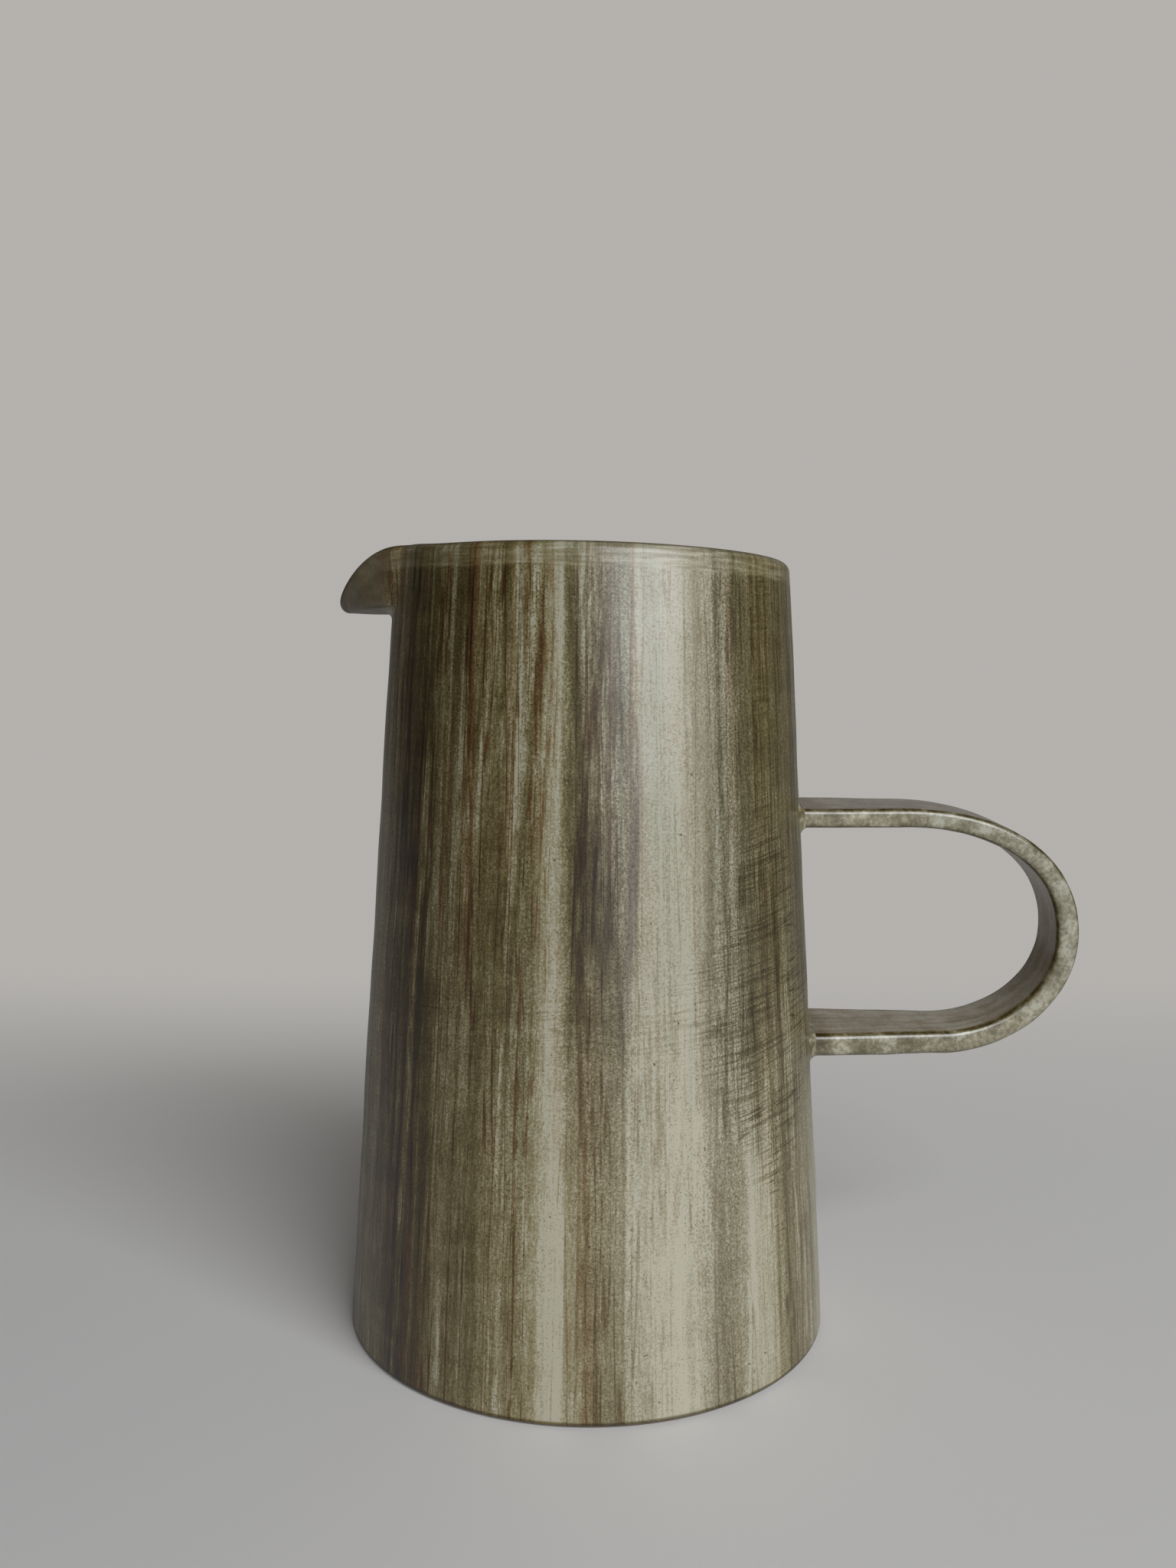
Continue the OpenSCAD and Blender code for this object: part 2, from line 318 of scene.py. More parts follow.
OUTER_SEAT = FOOT_ROWS + OUTER_ROWS - 2
CROWN = OUTER_SEAT + UPPER_ROWS - 1
INNER_SEAT = CROWN + UPPER_ROWS - 1
ROWS = INNER_SEAT + INNER_ROWS
SPOUT_CUTS = round(2 * SPOUT_HALF_ANGLE / SPOUT_STEP)


class Body:
    """Every point of the joined wall and spout, as cuts by rows, with its normals."""

    def __init__(self):
        spout = np.arange(SPOUT_CUTS) * SPOUT_STEP - SPOUT_HALF_ANGLE
        rest = np.arange(SPOUT_HALF_ANGLE, 360 - SPOUT_HALF_ANGLE, BODY_STEP)
        plain = whole_cut(180.0)
        cuts = np.stack([whole_cut(a) for a in spout] + [plain] * len(rest))
        a = np.radians(np.concatenate([spout, rest]))[:, None]
        r, z = cuts[..., 0], cuts[..., 1]
        grid = hand_made(np.stack([-r * np.cos(a), r * np.sin(a), z], axis=-1))
        around = np.roll(grid, -1, axis=0) - np.roll(grid, 1, axis=0)
        self.cuts = len(grid)
        self.points = grid.reshape(-1, 3)
        self.normals = unit(np.cross(np.gradient(grid, axis=1), around)).reshape(-1, 3)
        steps = np.linalg.norm(np.diff(grid, axis=1), axis=-1)
        along = np.concatenate([np.zeros((self.cuts, 1)), np.cumsum(steps, axis=1)], axis=1)
        self.from_crown = (along[:, CROWN:CROWN + 1] - along).ravel()

    def at(self, cut, row):
        """The point number at a cut, counted round and round, and a row."""
        return np.asarray(cut) % self.cuts * ROWS + row

    def patch(self, cuts, rows):
        """Quads over neighbouring cuts and rows, facing out of the clay."""
        c, r = np.meshgrid(cuts, rows, indexing="ij")
        return quads(self.at(c, r), self.at(c, r + 1), self.at(c + 1, r + 1), self.at(c + 1, r))

    def seat(self, cuts):
        """The flat ledge under the spout, facing up."""
        return quads(self.at(cuts, OUTER_SEAT), self.at(cuts, INNER_SEAT),
                     self.at(cuts + 1, INNER_SEAT), self.at(cuts + 1, OUTER_SEAT))

    def side(self, cut):
        """The flat end along one cut above the seat, as quads and the crown's triangle."""
        k = np.arange(CROWN - OUTER_SEAT - 1)
        four = quads(self.at(cut, OUTER_SEAT + k), self.at(cut, OUTER_SEAT + k + 1),
                     self.at(cut, INNER_SEAT - k - 1), self.at(cut, INNER_SEAT - k))
        three = np.array([[self.at(cut, CROWN - 1), self.at(cut, CROWN), self.at(cut, CROWN + 1)]])
        return four, three

    def piece(self, name, skin, joints, material):
        """A closed piece from skin quads, which shade as one surface, and flat joint faces."""
        shade = [self.normals[f] for f in skin] + [None] * len(joints)
        return make_piece(name, self.points, skin + joints, shade, material,
                          {"from_crown": self.from_crown})


def make_wall(body, material):
    """The wall, all round below the seat and outside the notch above it."""
    rest = np.arange(SPOUT_CUTS, body.cuts)
    spout = np.arange(SPOUT_CUTS)
    skin = [
        body.patch(rest, np.arange(ROWS - 1)),
        body.patch(spout, np.arange(OUTER_SEAT)),
        body.patch(spout, np.arange(INNER_SEAT, ROWS - 1)),
    ]
    ring = np.arange(body.cuts)
    under = quads(body.at(ring, 0), body.at(ring + 1, 0),
                  body.at(ring + 1, ROWS - 1), body.at(ring, ROWS - 1))
    left, left_tip = body.side(0)
    right, right_tip = body.side(SPOUT_CUTS)
    joints = [under, body.seat(spout), left, left_tip, right[:, ::-1], right_tip[:, ::-1]]
    return body.piece("wall_glazed", skin, joints, material)


def make_spout(body, material):
    """The beak, which fills the notch in the rim."""
    spout = np.arange(SPOUT_CUTS)
    skin = [body.patch(spout, np.arange(OUTER_SEAT, INNER_SEAT))]
    left, left_tip = body.side(0)
    right, right_tip = body.side(SPOUT_CUTS)
    joints = [body.seat(spout)[:, ::-1], left[:, ::-1], left_tip[:, ::-1], right, right_tip]
    return body.piece("spout_beak", skin, joints, material)


# BASE

def spin(name, profile, material, closed):
    """A turned piece from a profile of radius and height points, facing right of its run.

    A closed profile makes a ring. An open one starts and ends on the axis, at two poles.
    """
    turn = np.radians(np.arange(REVOLVE_STEPS) * 360 / REVOLVE_STEPS)[:, None]
    rim = profile if closed else profile[1:-1]
    ring = np.stack([rim[:, 0] * np.cos(turn), rim[:, 0] * np.sin(turn), rim[:, 1] + 0 * turn], axis=-1)
    ring = hand_made(ring)
    wide = len(rim)
    rows = np.arange(wide if closed else wide - 1)
    c, r = np.meshgrid(np.arange(REVOLVE_STEPS), rows, indexing="ij")
    after = (c + 1) % REVOLVE_STEPS
    beyond = (r + 1) % wide
    faces = [quads(c * wide + r, after * wide + r, after * wide + beyond, c * wide + beyond)]
    points = ring.reshape(-1, 3)
    if not closed:
        c = np.arange(REVOLVE_STEPS)
        after = (c + 1) % REVOLVE_STEPS
        first = len(points)
        last = first + 1
        poles = np.array([[0, 0, profile[0, 1]], [0, 0, profile[-1, 1]]])
        points = np.concatenate([points, poles])
        faces.append(np.stack([np.full_like(c, first), after * wide, c * wide], axis=1))
        end = wide - 1
        faces.append(np.stack([np.full_like(c, last), c * wide + end, after * wide + end], axis=1))
    return make_piece(name, points, faces, material=material)


def make_base_disc(material):
    """The slab that closes the wall, with faint rings from being trimmed underneath."""
    edge = wall_r(0) - WALL_T
    radii = np.linspace(0, edge - SLAB_EDGE_IN, TRIM_STEPS)
    wave = radii * TRIM_RATE + TRIM_WANDER * np.sin(radii * TRIM_WANDER_RATE)
    rings = TRIM_DEPTH * (1 - np.cos(wave)) * smooth(radii / TRIM_STARTS)
    under = np.stack([radii, rings * smooth((edge - radii) / TRIM_STOPS)], axis=1)
    top_r = wall_r(BASE_T) - WALL_T + SLAB_LAP
    over = np.array([[edge - SLAB_EDGE_GAP, SLAB_EDGE_RISE], [top_r, BASE_T], [0.0, BASE_T]])
    return spin("base_slab", np.concatenate([under, over]), material, closed=False)


def make_seam_coil(material):
    """The coil smoothed into the corner between base and wall, inside."""
    top = BASE_T + SEAM_R + SEAM_HEAD
    wall_in = wall_r(BASE_T) - WALL_T
    top_in = wall_r(top) - WALL_T
    turn = np.radians(np.linspace(0, 90, SEAM_STEPS))[:, None]
    middle = np.array([wall_in - SEAM_R - SEAM_OFF, BASE_T + SEAM_R + SEAM_OFF])
    hollow = middle + SEAM_R * np.concatenate([np.cos(turn), -np.sin(turn)], axis=1)
    toe = middle[0] - SEAM_TOE
    profile = np.concatenate([
        [[toe, BASE_T - SEAM_BED], [wall_in + SEAM_SINK, BASE_T - SEAM_BED]],
        [[top_in + SEAM_SINK, top], [top_in - SEAM_FEATHER, top]],
        hollow,
        [[toe, BASE_T + SEAM_FEATHER]],
    ])
    return spin("base_seam_fillet", profile, material, closed=True)


# NODES, for the handle's sweep and for the finishes

class Graph:
    """Nodes of a tree, made and joined by short calls that give back an output."""

    def __init__(self, tree):
        self.tree = tree
        tree.nodes.clear()

    def put(self, socket, value):
        """Links an output into a socket, or sets the socket to a constant."""
        if isinstance(value, bpy.types.NodeSocket):
            self.tree.links.new(value, socket)
        elif socket.type == "RGBA":
            socket.default_value = (*value, 1)
        else:
            socket.default_value = value

    def add(self, kind, inputs=None, output=0, **settings):
        """A new node with its settings and inputs. Gives back one of its outputs."""
        node = self.tree.nodes.new(kind)
        for key, value in settings.items():
            setattr(node, key, value)
        for key, value in (inputs or {}).items():
            self.put(node.inputs[key], value)
        return node.outputs[output] if output is not None else node

    def math(self, kind, a, b=0.0, c=0.0):
        """One step of arithmetic."""
        return self.add("ShaderNodeMath", {0: a, 1: b, 2: c}, operation=kind)

    def times(self, a, b):
        """The product of two values."""
        return self.math("MULTIPLY", a, b)

    def minus(self, a, b):
        """The difference of two values."""
        return self.math("SUBTRACT", a, b)

    def scaled(self, value, factor, plus):
        """A value times a factor, plus another value."""
        return self.math("MULTIPLY_ADD", value, factor, plus)

    def total(self, *values):
        """The sum of two or more values."""
        result = values[0]
        for value in values[1:]:
            result = self.math("ADD", result, value)
        return result

    def ramp(self, value, low, high, start=0.0, end=1.0):
        """A soft step from start to end as a value goes from low to high."""
        inputs = {"Value": value, "From Min": low, "From Max": high, "To Min": start, "To Max": end}
        return self.add("ShaderNodeMapRange", inputs, interpolation_type="SMOOTHSTEP")

    def fade(self, share, a, b):
        """A value between two, by a share from 0 to 1."""
        return self.total(self.times(b, share), self.times(a, self.minus(1.0, share)))

    def mix(self, share, a, b):
        """A colour between two, by a share from 0 to 1."""
        return self.add("ShaderNodeMix", {0: share, 6: a, 7: b}, output=2, data_type="RGBA")

    def vector(self, x, y, z):
        """A vector from three values."""
        return self.add("ShaderNodeCombineXYZ", {0: x, 1: y, 2: z})

    def split(self, vector):
        """The three values of a vector."""
        return self.add("ShaderNodeSeparateXYZ", {0: vector}, output=None).outputs


# HANDLE

def strap_path():
    """The strap's centre line, in its own upright plane, from the upper root to the lower."""
    turn = np.radians(np.linspace(0, 90, STRAP_BEND_STEPS))
    upper = np.stack([
        UPPER_BEND_X + (HANDLE_REACH - UPPER_BEND_X) * np.sin(turn) ** (2 / UPPER_FULLNESS),
        BEND_Z + (UPPER_RUN_Z - BEND_Z) * np.cos(turn) ** (2 / UPPER_FULLNESS),
    ], axis=1)
    lower = np.stack([
        LOWER_BEND_X + (HANDLE_REACH - LOWER_BEND_X) * np.cos(turn) ** (2 / LOWER_FULLNESS),
        BEND_Z - (BEND_Z - LOWER_RUN_Z) * np.sin(turn) ** (2 / LOWER_FULLNESS),
    ], axis=1)
    line = np.concatenate([
        [[wall_r(UPPER_RUN_Z), UPPER_RUN_Z]], upper, lower[1:], [[wall_r(LOWER_RUN_Z), LOWER_RUN_Z]],
    ])
    return even(line, STRAP_RINGS)


# Inputs of the sweep, in metres and radians
STRAP_INPUTS = {
    "Thickness": STRAP_T * MM,
    "Upper thickness share": UPPER_ROOT_T / STRAP_T,
    "Upper run height": UPPER_RUN_Z * MM,
    "Bend height": BEND_Z * MM,
    "Edge radius": STRAP_EDGE_R * MM,
    "Section step": STRAP_STEP * MM,
    "Bend width": BEND_W * MM,
    "Upper root width": UPPER_ROOT_W * MM,
    "Lower root width": LOWER_ROOT_W * MM,
    "Taper start": FOOT_R * MM,
    "Reach": HANDLE_REACH * MM,
    "Unevenness": UNEVENNESS * MM,
    "Unevenness scale": UNEVEN_SCALE,
    "Lean": math.radians(HANDLE_LEAN),
    "Lean height": HANDLE_MID_Z * MM,
    "Turn": math.radians(HANDLE_TURN),
    "Wall radius": (FOOT_R - ROOT_SINK) * MM,
    "Wall slope": (RIM_R - FOOT_R) / HEIGHT,
}


def strap_nodes():
    """The sweep of the flat strap: a rounded section along the path, widening to its roots."""
    tree = bpy.data.node_groups.new("strap_sweep", "GeometryNodeTree")
    tree.interface.new_socket("Path", in_out="INPUT", socket_type="NodeSocketGeometry")
    for name in STRAP_INPUTS:
        tree.interface.new_socket(name, in_out="INPUT", socket_type="NodeSocketFloat")
    tree.interface.new_socket("Glaze", in_out="INPUT", socket_type="NodeSocketMaterial")
    tree.interface.new_socket("Strap", in_out="OUTPUT", socket_type="NodeSocketGeometry")
    g = Graph(tree)
    given = g.add("NodeGroupInput", output=None).outputs

    def keep(geometry, name, value):
        """Keeps a value on each point under a name."""
        inputs = {"Geometry": geometry, "Name": name, "Value": value}
        return g.add("GeometryNodeStoreNamedAttribute", inputs, data_type="FLOAT", domain="POINT")

    def read(name):
        """A value kept under a name."""
        return g.add("GeometryNodeInputNamedAttribute", {"Name": name}, data_type="FLOAT")

    def place():
        """Where a point is, read anew after each move."""
        return g.add("GeometryNodeInputPosition")

    def turned(geometry, axis, angle, centre):
        """The geometry turned about an axis through a centre."""
        inputs = {"Vector": place(), "Center": centre, "Angle": angle}
        moved = g.add("ShaderNodeVectorRotate", inputs, rotation_type=axis)
        return g.add("GeometryNodeSetPosition", {"Geometry": geometry, "Position": moved})

    section = g.add("GeometryNodeCurvePrimitiveQuadrilateral",
                    {"Width": given["Bend width"], "Height": given["Thickness"]})
    section = g.add("GeometryNodeFilletCurve", {
        "Curve": section, "Radius": given["Edge radius"], "Count": STRAP_CORNER_STEPS}, mode="POLY")
    section = g.add("GeometryNodeResampleCurve", {"Curve": section, "Length": given["Section step"]},
                    mode="LENGTH")
    local = g.split(place())
    section = keep(section, "across", local[0])
    section = keep(section, "through", local[1])

    path = g.add("GeometryNodeMeshToCurve", {"Mesh": given["Path"]})
    path = g.add("GeometryNodeSetCurveNormal", {"Curve": path}, mode="MINIMUM_TWIST")
    share = g.add("GeometryNodeSplineParameter")
    path = keep(path, "along", share)
    upper = g.math("LESS_THAN", share, 0.5)
    root = g.fade(upper, given["Lower root width"], given["Upper root width"])
    width = g.add("ShaderNodeMapRange", {
        "Value": g.split(place())[0],
        "From Min": given["Taper start"], "From Max": given["Reach"],
        "To Min": root, "To Max": given["Bend width"]})
    path = keep(path, "width", width)
    thin = g.add("ShaderNodeMapRange", {
        "Value": g.split(place())[2],
        "From Min": given["Bend height"], "From Max": given["Upper run height"],
        "To Min": 1.0, "To Max": given["Upper thickness share"]})
    path = keep(path, "thin", thin)
    path = keep(path, "mid_x", g.split(place())[0])
    path = keep(path, "mid_z", g.split(place())[2])
    strap = g.add("GeometryNodeCurveToMesh",
                  {"Curve": path, "Profile Curve": section, "Fill Caps": True})
    x, y, z = g.split(place())
    thinned_x = g.scaled(g.minus(x, read("mid_x")), read("thin"), read("mid_x"))
    thinned_z = g.scaled(g.minus(z, read("mid_z")), read("thin"), read("mid_z"))
    strap = g.add("GeometryNodeSetPosition",
                  {"Geometry": strap, "Position": g.vector(thinned_x, y, thinned_z)})

    flat = g.minus(g.times(given["Bend width"], 0.5), given["Edge radius"])
    spread = g.math("MAXIMUM", -1.0, g.math("MINIMUM", 1.0, g.math("DIVIDE", g.split(place())[1], flat)))
    extra = g.times(g.minus(read("width"), given["Bend width"]), 0.5)
    aside = g.vector(0.0, g.times(spread, extra), 0.0)
    strap = g.add("GeometryNodeSetPosition", {"Geometry": strap, "Offset": aside})

    wobble = g.add("ShaderNodeTexNoise", {"Vector": place(), "Scale": given["Unevenness scale"],
                                          "Detail": 2.0, "Roughness": 0.5})
    wobble = g.times(g.minus(wobble, 0.5), given["Unevenness"])
    from_middle = g.math("ABSOLUTE", g.minus(read("along"), 0.5))
    wobble = g.times(wobble, g.ramp(from_middle, *UNEVEN_SHARES, 1.0, 0.0))
    normal = g.add("GeometryNodeInputNormal")
    shift = g.add("ShaderNodeVectorMath", {0: normal, "Scale": wobble}, operation="SCALE")
    strap = g.add("GeometryNodeSetPosition", {"Geometry": strap, "Offset": shift})

    strap = turned(strap, "X_AXIS", given["Lean"], g.vector(0.0, 0.0, given["Lean height"]))
    x, y, z = g.split(place())
    radius = g.scaled(z, given["Wall slope"], given["Wall radius"])
    squared = g.minus(g.times(radius, radius), g.times(y, y))
    on_wall = g.vector(g.math("SQRT", squared), y, z)
    end = g.math("GREATER_THAN", from_middle, END_SHARE)
    strap = g.add("GeometryNodeSetPosition", {"Geometry": strap, "Selection": end, "Position": on_wall})
    strap = turned(strap, "Z_AXIS", given["Turn"], (0.0, 0.0, 0.0))

    strap = g.add("GeometryNodeRealizeInstances", {"Geometry": strap})
    strap = g.add("GeometryNodeSetShadeSmooth", {"Geometry": strap, "Shade Smooth": True})
    strap = g.add("GeometryNodeSetMaterial", {"Geometry": strap, "Material": given["Glaze"]})
    g.add("NodeGroupOutput", {"Strap": strap}, output=None)
    return tree


def make_handle(material):
    """The strap, swept by its nodes along the path and baked."""
    path = strap_path() * MM
    points = [(x, 0.0, z) for x, z in path.tolist()]
    mesh = bpy.data.meshes.new("strap_path")
    mesh.from_pydata(points, [(i, i + 1) for i in range(len(points) - 1)], [])
    guide = bpy.data.objects.new("strap_path", mesh)
    bpy.context.scene.collection.objects.link(guide)
    sweep = guide.modifiers.new("sweep", "NODES")
    sweep.node_group = strap_nodes()
    for item in sweep.node_group.interface.items_tree:
        if item.in_out == "INPUT" and item.name in STRAP_INPUTS:
            sweep[item.identifier] = STRAP_INPUTS[item.name]
        elif item.in_out == "INPUT" and item.name == "Glaze":
            sweep[item.identifier] = material
    seen = guide.evaluated_get(bpy.context.evaluated_depsgraph_get())
    baked = bpy.data.meshes.new_from_object(seen)
    guide.modifiers.remove(sweep)
    bpy.data.objects.remove(guide)
    piece = bpy.data.objects.new("handle_strap", baked)
    bpy.context.scene.collection.objects.link(piece)
    return piece


def strap_outline(width, thick):
    """The rounded section of the strap, clockwise, and its outward directions."""
    # Once round in steps of 10 degrees that miss the four quarter points
    turn = np.radians(5 - 10 * np.arange(37))
    sides = np.stack([np.cos(turn), np.sin(turn)], axis=1)
    centre = np.array([width, thick]) / 2 - STRAP_EDGE_R
    outline = even(np.sign(sides) * centre + STRAP_EDGE_R * sides, OUTLINE_POINTS + 1)[:-1]
    around = unit(np.roll(outline, -1, axis=0) - np.roll(outline, 1, axis=0))
    return outline, np.stack([-around[:, 1], around[:, 0]], axis=1)


def make_root_coil(name, run_z, root_w, root_t, material):
    """The coil smoothed into the corner between the wall and one root of the strap."""
    outline, out = strap_outline(root_w, root_t)
    lean, turn = math.radians(HANDLE_LEAN), math.radians(HANDLE_TURN)
    thin = COIL_HOLLOW_SHARE * ROOT_COIL_R

    def on_wall(section, sink, ahead=0.0):
        """Points of the strap's section, leaned and brought along X onto the wall."""
        y = section[:, 0] * math.cos(lean) - (section[:, 1] + run_z - HANDLE_MID_Z) * math.sin(lean)
        z = section[:, 0] * math.sin(lean) + (section[:, 1] + run_z - HANDLE_MID_Z) * math.cos(lean)
        z = z + HANDLE_MID_Z
        return np.stack([np.sqrt((wall_r(z) - sink) ** 2 - y ** 2) + ahead, y, z], axis=1)

    corner = on_wall(outline - COIL_SINK * out, COIL_SINK)
    toe = on_wall(outline + ROOT_COIL_R * out, TOE_SINK)
    bend = on_wall(outline + thin * out, 0.0, thin)
    tip = on_wall(outline - TIP_SINK * out, 0.0, ROOT_COIL_R)
    t = np.linspace(0, 1, COIL_STEPS)[:, None, None]
    hollow = (1 - t) ** 2 * toe + 2 * t * (1 - t) * bend + t ** 2 * tip
    rings = np.concatenate([corner[None], hollow]).transpose(1, 0, 2)
    x, y, z = rings[..., 0], rings[..., 1], rings[..., 2]
    x, y = x * math.cos(turn) - y * math.sin(turn), x * math.sin(turn) + y * math.cos(turn)
    grown = 1 + ripple(x, y, z) / np.hypot(x, y)
    points = np.stack([x * grown, y * grown, z], axis=-1)
    count, wide = points.shape[:2]
    i, j = np.meshgrid(np.arange(count), np.arange(wide), indexing="ij")
    after, beyond = (i + 1) % count, (j + 1) % wide
    faces = quads(i * wide + j, i * wide + beyond, after * wide + beyond, after * wide + j)
    return make_piece(name, points.reshape(-1, 3), [faces], material=material)


# GLAZES

# How dense the brushed oxide is round the body, at angles in degrees to the right of the
# front: near the rim and down to the middle, and near the foot
LAYOUT_HIGH = [
    (-180, 0.50), (-150, 0.80), (-120, 0.45), (-90, 0.70), (-66, 0.55), (-60, 0.90), (-55, 1.55),
    (-45, 1.45), (-40, 0.75), (-37, 0.85), (-34, 0.85), (-30, 0.95), (-26, 0.93), (-18, 1.05),
    (-14, 0.65), (-11, 0.25), (-7, 0.15), (-4, 1.05), (-2, 1.02), (2, 1.15), (6, 0.75), (9, 0.45),
    (12, 0.15), (22, 0.08), (28, 0.15), (34, 0.50), (44, 0.95), (60, 1.05), (68, 0.95), (90, 0.60),
    (135, 0.80), (180, 0.50),
]
LAYOUT_LOW = [
    (-180, 0.40), (-135, 0.70), (-90, 0.40), (-64, 0.85), (-60, 1.00), (-56, 1.25), (-48, 1.40),
    (-44, 1.20), (-38, 0.88), (-35, 1.00), (-30, 1.15), (-25, 0.85), (-20, 0.60), (-17, 0.80),
    (-12, 0.32), (-8, 0.08), (-6, 0.00), (-3, 0.26), (3, 0.62), (6, 0.40), (10, 0.28), (14, 0.10),
    (22, 0.14), (29, 0.38), (33, 0.62), (36, 0.52), (40, 0.13), (45, 0.14), (54, 0.78), (64, 0.62),
    (74, 0.25), (180, 0.40),
]
# Where the low layout starts on the way down and where it is alone, in mm up the body
LOW_PART = (112.0, 58.0)

# Brush marks of the oxide: mm wide, mm tall, seed, detail, roughness, strength
BRUSH_MARKS = [
    (5.5, 240, 3.1, 1.0, 0.5, 1.1),
    (2.4, 180, 27.3, 2.0, 0.5, 1.3),
    (1.0, 130, 41.7, 2.0, 0.5, 0.6),
    (14, 26, 91.9, 2.0, 0.5, 0.7),
    (1.8, 18, 63.5, 3.0, 0.65, 1.3),
    (0.55, 5, 57.4, 3.0, 0.65, 1.5),
]
# How far apart the wheel's faint rings lie, in mm
RING_PITCH = 6.0

# Where a finish of the body starts and where it is full: mm up the body
# The next pair pales the ground towards the foot, partly a paler glaze and partly painted light bounced
# from the table
PALE_FOOT_AND_BOUNCE_LIGHT = (115.0, 40.0)
# Painted shadow: the next pair darkens the last mm or two above the table, as a contact shadow
FOOT_SHADOW_LINE = (1.7, 1.0)
UNGLAZED = (0.9, 0.6)
# The same, in mm from the crown, down the outside or, below 0, down the inside
RIM_BAND = (7.8, 6.6)
LINING = (-1.5, -4.5)
# The same, in mm out from the plain wall
BEAK_STAND = (0.6, 4.0)
# Painted shade: the next pair darkens the beak where it meets the wall
THROAT_SHADE_STAND = (7.0, 1.0)
# The same, in degrees to the right of the front
WARM_SIDE = (24.0, -14.0)
BROWN_SIDE = (32.0, 50.0)
# Middle and reach of the dark line on the crown, in mm from the crown
CROWN_LINE = (0.6, 1.5)
# Middle and reach of the crossed brush marks, in degrees and in mm up, and their rise per mm
HATCH_ANGLES = (50.0, 28.0)
HATCH_HEIGHTS = (92.0, 58.0)
HATCH_RISE = 0.09
# The plum streak: its angle at the foot, its lean in degrees per mm, its reach in degrees,
# and its middle and reach in mm up
PLUM_ANGLE = 5.0
PLUM_LEAN = 0.036
PLUM_REACH = 2.4
PLUM_HEIGHTS = (122.0, 55.0)
# A painted cool plum-grey tint about it, where the key light's bluish reflection falls: middle and reach
# in degrees, and where it starts and is full in mm up
REFLECTION_TINT_ANGLES = (4.0, 9.0)
REFLECTION_TINT_HEIGHTS = (70.0, 120.0)

# The strap's pale edge and the dark line along its corners, in mm in from its side or face
EDGE_STARTS = 1.5
EDGE_FULL = 0.8
LINE_FROM_SIDE = 0.9
LINE_SIDE_REACH = 1.3
LINE_FROM_FACE = 0.25
LINE_FACE_REACH = 0.8
# Where the darker roots of the strap start and are full, as shares of its length
ROOT_SHARES = (0.045, 0.015)

# Colours of the glaze without oxide
CREAM = (0.430, 0.405, 0.302)
CELADON = (0.378, 0.370, 0.278)
ROSE = (0.430, 0.385, 0.285)
# Paler glaze near the foot, partly painted light bounced from the table
FOOT_CREAM_AND_BOUNCE_LIGHT = (0.525, 0.497, 0.376)
# The strap faces' warm ground, lightened partly as painted light from above
FACE_CREAM_AND_TOP_LIGHT = (0.465, 0.420, 0.315)
# Colours of bare clay: wiped at the foot, and under the base
BARE = (0.100, 0.070, 0.045)
DARK_CLAY = (0.20, 0.13, 0.085)
PALE_CLAY = (0.31, 0.22, 0.15)
# How strongly an oxide takes up red, green and blue
OLIVE = (1.47, 1.61, 2.08)
UMBER = (1.42, 1.64, 2.50)
RUST = (1.15, 1.90, 2.75)
PLUM = (1.50, 1.68, 1.72)
HANDLE_BROWN = (1.25, 1.60, 2.15)

MID_R = (FOOT_R + RIM_R) / 2
# The fine grain's height in mm, and how rough the clear coat is
BUMP_HEIGHT = 0.1
COAT_ROUGHNESS = 0.22


class Surface(Graph):
    """A material's nodes, with the place on the piece in mm."""

    def __init__(self, name):
        self.material = bpy.data.materials.new(name)
        self.material.use_nodes = True
        super().__init__(self.material.node_tree)
        place = self.add("ShaderNodeTexCoord", output="Object")
        self.place = self.add("ShaderNodeVectorMath", {0: place, "Scale": 1 / MM}, operation="SCALE")
        self.x, self.y, self.z = self.split(self.place)

    def from_axis(self):
        """The distance from the pitcher's axis."""
        return self.math("SQRT", self.total(self.times(self.x, self.x), self.times(self.y, self.y)))

    def noise(self, where, scale=1.0, detail=1.0, rough=0.5):
        """Soft noise about 0."""
        inputs = {"Vector": where, "Scale": scale, "Detail": detail, "Roughness": rough}
        return self.minus(self.add("ShaderNodeTexNoise", inputs), 0.5)

    def thread(self, value, half):
        """A thin line where a noise crosses 0."""
        return self.ramp(self.math("ABSOLUTE", value), half, 0.3 * half)

    def attribute(self, name):
        """A value kept on the piece."""
        return self.add("ShaderNodeAttribute", output="Fac", attribute_name=name)

    def near(self, value, centre, reach):
        """1 where a value is at a centre, which may vary, falling softly to 0 at a distance."""
        off = self.math("ABSOLUTE", self.minus(value, centre))
        return self.ramp(off, 0.0, reach, 1.0, 0.0)

    def stained(self, ground, oxide, density):
        """A ground seen through oxide of a density: each channel falls off on its own."""
        taken = self.add("ShaderNodeVectorMath", {0: oxide, "Scale": density}, operation="SCALE")
        left = [self.math("EXPONENT", self.times(part, -1.0)) for part in self.split(taken)]
        return self.add("ShaderNodeVectorMath", {0: ground, 1: self.vector(*left)}, operation="MULTIPLY")

    def lining(self):
        """The pale glaze inside, in soft clouds."""
        return self.mix(self.ramp(self.noise(self.place, 0.08, 3.0), -0.2, 0.2), CREAM, CELADON)

    def finish(self, color, roughness, bump=0.0, coat=0.0):
        """The surface, in a colour, with a fine grain and a thin clear coat."""
        grain = self.noise(self.place, 0.9, 2.0)
        normal = self.add("ShaderNodeBump", {
            "Strength": bump, "Distance": BUMP_HEIGHT * MM, "Height": grain})
        shader = self.add("ShaderNodeBsdfPrincipled", {
            "Base Color": color, "Roughness": roughness, "Normal": normal,
            "Coat Weight": coat, "Coat Roughness": COAT_ROUGHNESS})
        self.add("ShaderNodeOutputMaterial", {"Surface": shader}, output=None)
        return self.material


